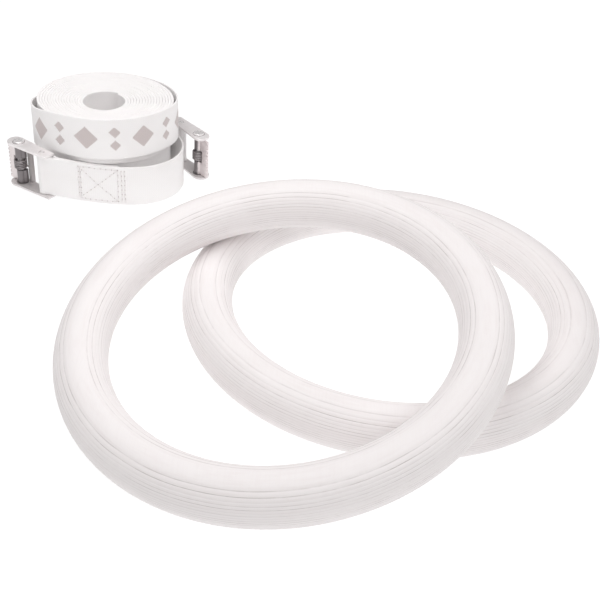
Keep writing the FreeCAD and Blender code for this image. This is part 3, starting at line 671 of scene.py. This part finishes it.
def capsule(points, faces, start, end, outward, radius, flat=1.0):
    """A short thread from start to end, sunk at both ends."""
    along = (end - start).normalized()
    across = along.cross(outward).normalized()
    first = len(points)
    shares = (0.0, 0.12, 0.35, 0.65, 0.88, 1.0)
    swell = (0.35, 0.85, 1.0, 1.0, 0.85, 0.35)
    for share, size in zip(shares, swell):
        middle = start.lerp(end, share) - outward * radius * (1.0 - size)
        for step in range(8):
            turn = 2.0 * math.pi * step / 8
            points.append(middle + across * radius * size * math.cos(turn)
                          + outward * radius * size * flat * math.sin(turn))
    for row in range(len(shares) - 1):
        for step in range(8):
            low, high = first + row * 8, first + (row + 1) * 8
            beside = (step + 1) % 8
            faces.append((low + step, low + beside, high + beside, high + step))
    faces.append(tuple(first + step for step in reversed(range(8))))
    faces.append(tuple(first + (len(shares) - 1) * 8 + step for step in range(8)))


def seams():
    """Lines of the sewn box as (run, height) pairs: its rim, its cross and its back tacks."""
    low = (frame_width - BOX_HEIGHT) / 2.0
    high = low + BOX_HEIGHT
    start, end = BOX_START, BOX_START + BOX_LENGTH
    lines = [((start, low), (end, low)), ((start, high), (end, high)),
             ((start, low), (start, high)), ((end, low), (end, high)),
             ((start, low), (end, high)), ((start, high), (end, low)),
             ((start + START_TACK, low), (start + START_TACK, high))]
    for tack in END_TACKS:
        lines.append(((end + tack, low - 1.2 * MM), (end + tack, high - 0.6 * MM)))
    return lines


def build_stitching(name, path, count, seed):
    draw = random.Random(seed)
    threads, thread_faces, hole_shade_points, hole_shade_faces = [], [], [], []
    for (run_a, height_a), (run_b, height_b) in seams():
        radius = TACK_RADIUS if abs(run_a - run_b) < 0.1 * MM else THREAD_RADIUS
        length = math.hypot(run_b - run_a, height_b - height_a)
        number = max(1, int(length / (STITCH + STITCH_GAP)))
        for index in range(number):
            first = (index + 0.5 * STITCH_GAP / (STITCH + STITCH_GAP)) / number
            last = first + STITCH / (STITCH + STITCH_GAP) / number
            slip = draw.uniform(-0.15, 0.15) * MM
            ends = []
            for share in (first, last):
                run = run_a + (run_b - run_a) * share + slip
                height = height_a + (height_b - height_a) * share + slip
                ends.append((run, height))
            start = face_point(path, count, *ends[0], 0.06 * MM)
            end = face_point(path, count, *ends[1], 0.06 * MM)
            above = face_point(path, count, *ends[0], 1.0 * MM)
            outward = (above - start).normalized()
            capsule(threads, thread_faces, start, end, outward, radius)
            # A dark flat capsule past each stitch's end, painted shade of its needle hole.
            gap = (end - start).normalized() * (STITCH_GAP * 0.5)
            capsule(hole_shade_points, hole_shade_faces, end - gap * 0.2 - outward * 0.05 * MM,
                    end + gap * 1.9 - outward * 0.05 * MM, outward, 0.3 * MM, 0.5)
    thread = add_mesh(name, threads, thread_faces)
    thread.data.materials.append(thread_material)
    hole_shade_piece = add_mesh(name + "_holes", hole_shade_points, hole_shade_faces)
    hole_shade_piece.data.materials.append(hole_shade_material)
    return thread, hole_shade_piece


def build_strap(side, path, count, puffs, with_motif):
    name = side + "_strap"
    even = [1.0] * (len(path) - len(puffs))
    strap, runs = build_strap_mesh(name + "_webbing", path, puffs + even)
    if with_motif:
        first, last = motif_stretch(path, len(puffs))
        strap.data.materials.append(webbing(name + "_weave", float(runs[first]), float(runs[last])))
    else:
        strap.data.materials.append(webbing(name + "_weave"))
    nodes = [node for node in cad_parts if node.startswith(name) and "stitching" not in node]
    stitching = name + "_stitching"
    thread, hole_shade_piece = build_stitching(name + "_sewn_box", path, count, 21 if with_motif else 22)
    for piece in (strap, thread, hole_shade_piece):
        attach(piece, name)
    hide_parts(*nodes)
    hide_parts(stitching)
    return strap


def motif_stretch(path, rolled):
    """First and last path points of the front band that carries the woven row."""
    around = np.degrees(np.arctan2(path[:, 1] - UPPER_CENTRE.y, path[:, 0] - UPPER_CENTRE.x))
    loose = np.arange(len(path)) >= rolled
    right = np.flatnonzero(loose & (around < MOTIF_RIGHT_BEARING))[0]
    left = np.flatnonzero(loose & (around < MOTIF_LEFT_BEARING))[0]
    return right, left


thread_material = sewing_thread("sewing_thread")
hole_shade_material = needle_hole_shade("needle_holes")


# ---------------------------------------------------------------- buckles

BUCKLE_BODY = {"left": "lower_strap", "right": "upper_strap"}
EASED = {"frame": 0.28 * MM, "cam_lever": 0.22 * MM}
# Half of the clear width between a buckle's two side plates.
INNER_HALF = 14.2 * MM
# Points of a CAD mesh nearer than this are one point.
WELD = 0.002 * MM


def chamfered(node, width):
    """The CAD part of that name again, with its sharp edges eased as the real casting's are."""
    mesh = bmesh.new()
    mesh.from_mesh(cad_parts[node].data)
    bmesh.ops.remove_doubles(mesh, verts=mesh.verts, dist=WELD)
    bmesh.ops.dissolve_limit(mesh, angle_limit=math.radians(0.5), verts=mesh.verts,
                             edges=mesh.edges)
    sharp = [edge for edge in mesh.edges
             if edge.is_manifold and edge.calc_face_angle() > math.radians(40.0)]
    bmesh.ops.bevel(mesh, geom=sharp, offset=width, offset_type="OFFSET", segments=1,
                    affect="EDGES", clamp_overlap=True)
    data = bpy.data.meshes.new(node + "_eased")
    mesh.to_mesh(data)
    mesh.free()
    data.polygons.foreach_set("use_smooth", [True] * len(data.polygons))
    data.set_sharp_from_angle(angle=math.radians(24.0))
    piece = bpy.data.objects.new(node + "_eased", data)
    bpy.context.scene.collection.objects.link(piece)
    return piece


def shells_of(node):
    """The separate shells of a CAD part, each as its points and faces."""
    mesh = bmesh.new()
    mesh.from_mesh(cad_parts[node].data)
    bmesh.ops.remove_doubles(mesh, verts=mesh.verts, dist=WELD)
    unseen, shells = set(mesh.verts), []
    while unseen:
        shell, border = [], [unseen.pop()]
        while border:
            vert = border.pop()
            shell.append(vert)
            beside = {edge.other_vert(vert) for edge in vert.link_edges} & unseen
            unseen -= beside
            border.extend(beside)
        place = {vert: index for index, vert in enumerate(shell)}
        faces = {face for vert in shell for face in vert.link_faces}
        faces = sorted(faces, key=lambda face: face.index)
        shells.append(([vert.co.copy() for vert in shell],
                       [tuple(place[vert] for vert in face.verts) for face in faces]))
    mesh.free()
    return shells


def joined(*shells):
    points, faces = [], []
    for shell_points, shell_faces in shells:
        faces += [tuple(len(points) + corner for corner in face) for face in shell_faces]
        points += shell_points
    return points, faces


SPRING_PITCH = 1.25 * MM
# A hair under the coils' own wire, so that the trail stays inside them at rest.
WIRE_RADIUS = 0.54 * MM
WIRE_SIDES = 14
TRAIL_ANGLE = math.radians(42.0)
TRAIL_STEPS = 18


def wire_trail(pin, leg_points, way):
    """The end of the last coil, which turns with the leg so that the wire stays whole.

    way is 1 where the leg leaves the coils at their top and -1 where it leaves them at the bottom.
    """
    reach = [math.hypot(point.x - pin.x, point.y - pin.y) for point in leg_points]
    middle = (min(reach) + max(reach)) / 2.0
    near = [point for point, far in zip(leg_points, reach) if far < middle]
    root = sum(near, Vector()) / len(near)
    radius = math.hypot(root.x - pin.x, root.y - pin.y)
    bearing = math.atan2(root.y - pin.y, root.x - pin.x)
    points = []
    for step in range(TRAIL_STEPS + 1):
        back = TRAIL_ANGLE * step / TRAIL_STEPS
        turn = bearing - way * back
        outward = Vector((math.cos(turn), math.sin(turn), 0.0))
        height = root.z - way * SPRING_PITCH * back / math.tau
        centre = Vector((pin.x, pin.y, height)) + outward * radius
        for side in range(WIRE_SIDES):
            round_wire = math.tau * side / WIRE_SIDES
            points.append(centre + outward * WIRE_RADIUS * math.cos(round_wire)
                          + Vector((0.0, 0.0, WIRE_RADIUS * math.sin(round_wire))))
    return points, quads(TRAIL_STEPS + 1, WIRE_SIDES)


def build_spring(side, tail, material):
    """The coils stay with the buckle, and the leg under the thumb plate turns with the lever.

    Of the two legs, the one that turns lies on the side of the pin away from the strap bar. The
    right buckle is turned over, so its moving leg leaves the coils at the bottom.
    """
    node = side + "_buckle_torsion_spring"
    pin = pivot_middle(side)
    leg, *still = sorted(shells_of(node), key=lambda shell: sum(
        (point - pin).dot(tail) for point in shell[0]) / len(shell[0]))
    leg_height = sum(point.z for point in leg[0]) / len(leg[0])
    trail = wire_trail(pin, leg[0], 1.0 if leg_height > pin.z else -1.0)
    for name, shell, body in (("coils", joined(*still), BUCKLE_BODY[side]),
                              ("moving_leg", joined(leg, trail), side + "_cam_lever")):
        piece = add_mesh("%s_spring_%s" % (side, name), *shell)
        piece.data.set_sharp_from_angle(angle=math.radians(40.0))
        piece.data.materials.append(material)
        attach(piece, body)
        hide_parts(node)


def finish_buckle(side):
    pin = pivot_middle(side)
    tail = bar_middle(side) - pin
    tail.z = 0.0
    # The frame plating carries painted shade round its rivet, over its clamp bar and on its lower
    # plate, in the dark colour given.
    zinc = metal(side + "_frame_plating", rgb(0.86, 0.82, 0.82), rgb(0.91, 0.875, 0.875), 0.36,
                 (1.0, 1.0, 0.05), 0.4,
                 painted_shade_on_frame(pin, pin.z - INNER_HALF, pin.z + INNER_HALF),
                 rgb(0.30, 0.27, 0.27))
    # The lever plating carries painted shade on its cam half, in the dark colour given.
    lever = metal(side + "_lever_plating", rgb(0.74, 0.68, 0.68), rgb(0.80, 0.735, 0.735), 0.34,
                  (0.05, 0.05, 1.0), 0.7, painted_shade_behind(pin, tail.normalized()),
                  rgb(0.22, 0.20, 0.205))
    steel = metal(side + "_pin_steel", rgb(0.80, 0.775, 0.775), rgb(0.90, 0.875, 0.875), 0.24,
                  (0.2, 0.2, 1.0), 0.5)
    spring = metal(side + "_spring_steel", rgb(0.30, 0.275, 0.28), rgb(0.44, 0.41, 0.415), 0.32,
                   (1.0, 1.0, 1.0), 0.9)
    finishes = {"strap_bar": steel, "pivot_pin": steel, "torsion_spring": spring,
                "frame": zinc, "cam_lever": lever}
    for part, material in finishes.items():
        node = "%s_buckle_%s" % (side, part)
        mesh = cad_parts[node].data
        mesh.materials.clear()
        mesh.materials.append(material)
        if part in EASED:
            piece = chamfered(node, EASED[part])
            piece.data.materials.clear()
            piece.data.materials.append(material)
            body = BUCKLE_BODY[side] if part == "frame" else side + "_cam_lever"
            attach(piece, body)
            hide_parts(node)
    build_spring(side, tail.normalized(), spring)


# ---------------------------------------------------------------- studio

CAMERA_PLACE = Vector((16.34, -494.06, 364.24)) * MM
CAMERA_PITCH = 0.6289
CAMERA_ROLL = 0.0811
CAMERA_LENS = 62.6
FLOOR_HALF = 30.0
AIM = (-0.02, 0.02, 0.0)


def build_camera():
    right = Vector((1.0, 0.0, 0.0))
    ahead = Vector((0.0, math.cos(CAMERA_PITCH), -math.sin(CAMERA_PITCH)))
    up = right.cross(ahead)
    x_axis = right * math.cos(CAMERA_ROLL) + up * math.sin(CAMERA_ROLL)
    y_axis = up * math.cos(CAMERA_ROLL) - right * math.sin(CAMERA_ROLL)
    data = bpy.data.cameras.new("camera")
    data.sensor_width, data.lens = 36.0, CAMERA_LENS
    data.clip_start, data.clip_end = 0.01, 50.0
    camera = bpy.data.objects.new("camera", data)
    bpy.context.scene.collection.objects.link(camera)
    turn = Matrix((x_axis, y_axis, -ahead)).transposed().to_4x4()
    camera.matrix_world = Matrix.Translation(CAMERA_PLACE) @ turn
    bpy.context.scene.camera = camera


def add_light(name, place, target, size, power, colour=(1.0, 1.0, 1.0)):
    data = bpy.data.lights.new(name, "AREA")
    data.shape, data.size, data.energy, data.color = "DISK", size, power, colour
    light = bpy.data.objects.new(name, data)
    bpy.context.scene.collection.objects.link(light)
    light.location = place
    light.rotation_euler = (Vector(target) - Vector(place)).to_track_quat("-Z", "Y").to_euler()


def build_floor():
    corners = [(-FLOOR_HALF, -FLOOR_HALF, 0.0), (FLOOR_HALF, -FLOOR_HALF, 0.0),
               (FLOOR_HALF, FLOOR_HALF, 0.0), (-FLOOR_HALF, FLOOR_HALF, 0.0)]
    floor = add_mesh("resting_floor", corners, [(0, 1, 2, 3)], smooth=False)
    graph = Graph("pale_floor")
    graph.finish(rgb(0.30, 0.30, 0.30), 0.9, Specular_IOR_Level=0.0,
                 Emission_Color=(1.0, 1.0, 1.0, 1.0), Emission_Strength=0.825)
    floor.data.materials.append(graph.material)
    floor.location.z = -0.0002


def build_world():
    world = bpy.data.worlds.new("studio")
    bpy.context.scene.world = world
    world.use_nodes = True
    background = world.node_tree.nodes["Background"]
    background.inputs["Color"].default_value = rgb(1.0, 0.985, 0.985)
    background.inputs["Strength"].default_value = 0.30


def build_studio():
    build_camera()
    build_floor()
    build_world()
    add_light("behind_straps", (-0.32, 0.22, 0.65), AIM, 0.4, 1.15)
    add_light("before_straps", (-0.15, -0.10, 0.55), AIM, 0.4, 1.1)
    add_light("right_front", (0.55, -0.40, 0.80), AIM, 0.6, 2.4)
    add_light("right_back", (0.60, 0.60, 0.90), AIM, 0.6, 2.8)
    add_light("low_front", (0.0, -1.30, 0.50), AIM, 0.8, 1.45)
    bpy.context.scene.view_settings.view_transform = "Standard"


build_studio()
build_ring("right_ring", 0.65, 31.0)
build_ring("left_ring", 0.0, 57.0)
build_strap("upper", *upper_path(), True)
build_strap("lower", *lower_path(), False)
for buckle_side in ("left", "right"):
    finish_buckle(buckle_side)
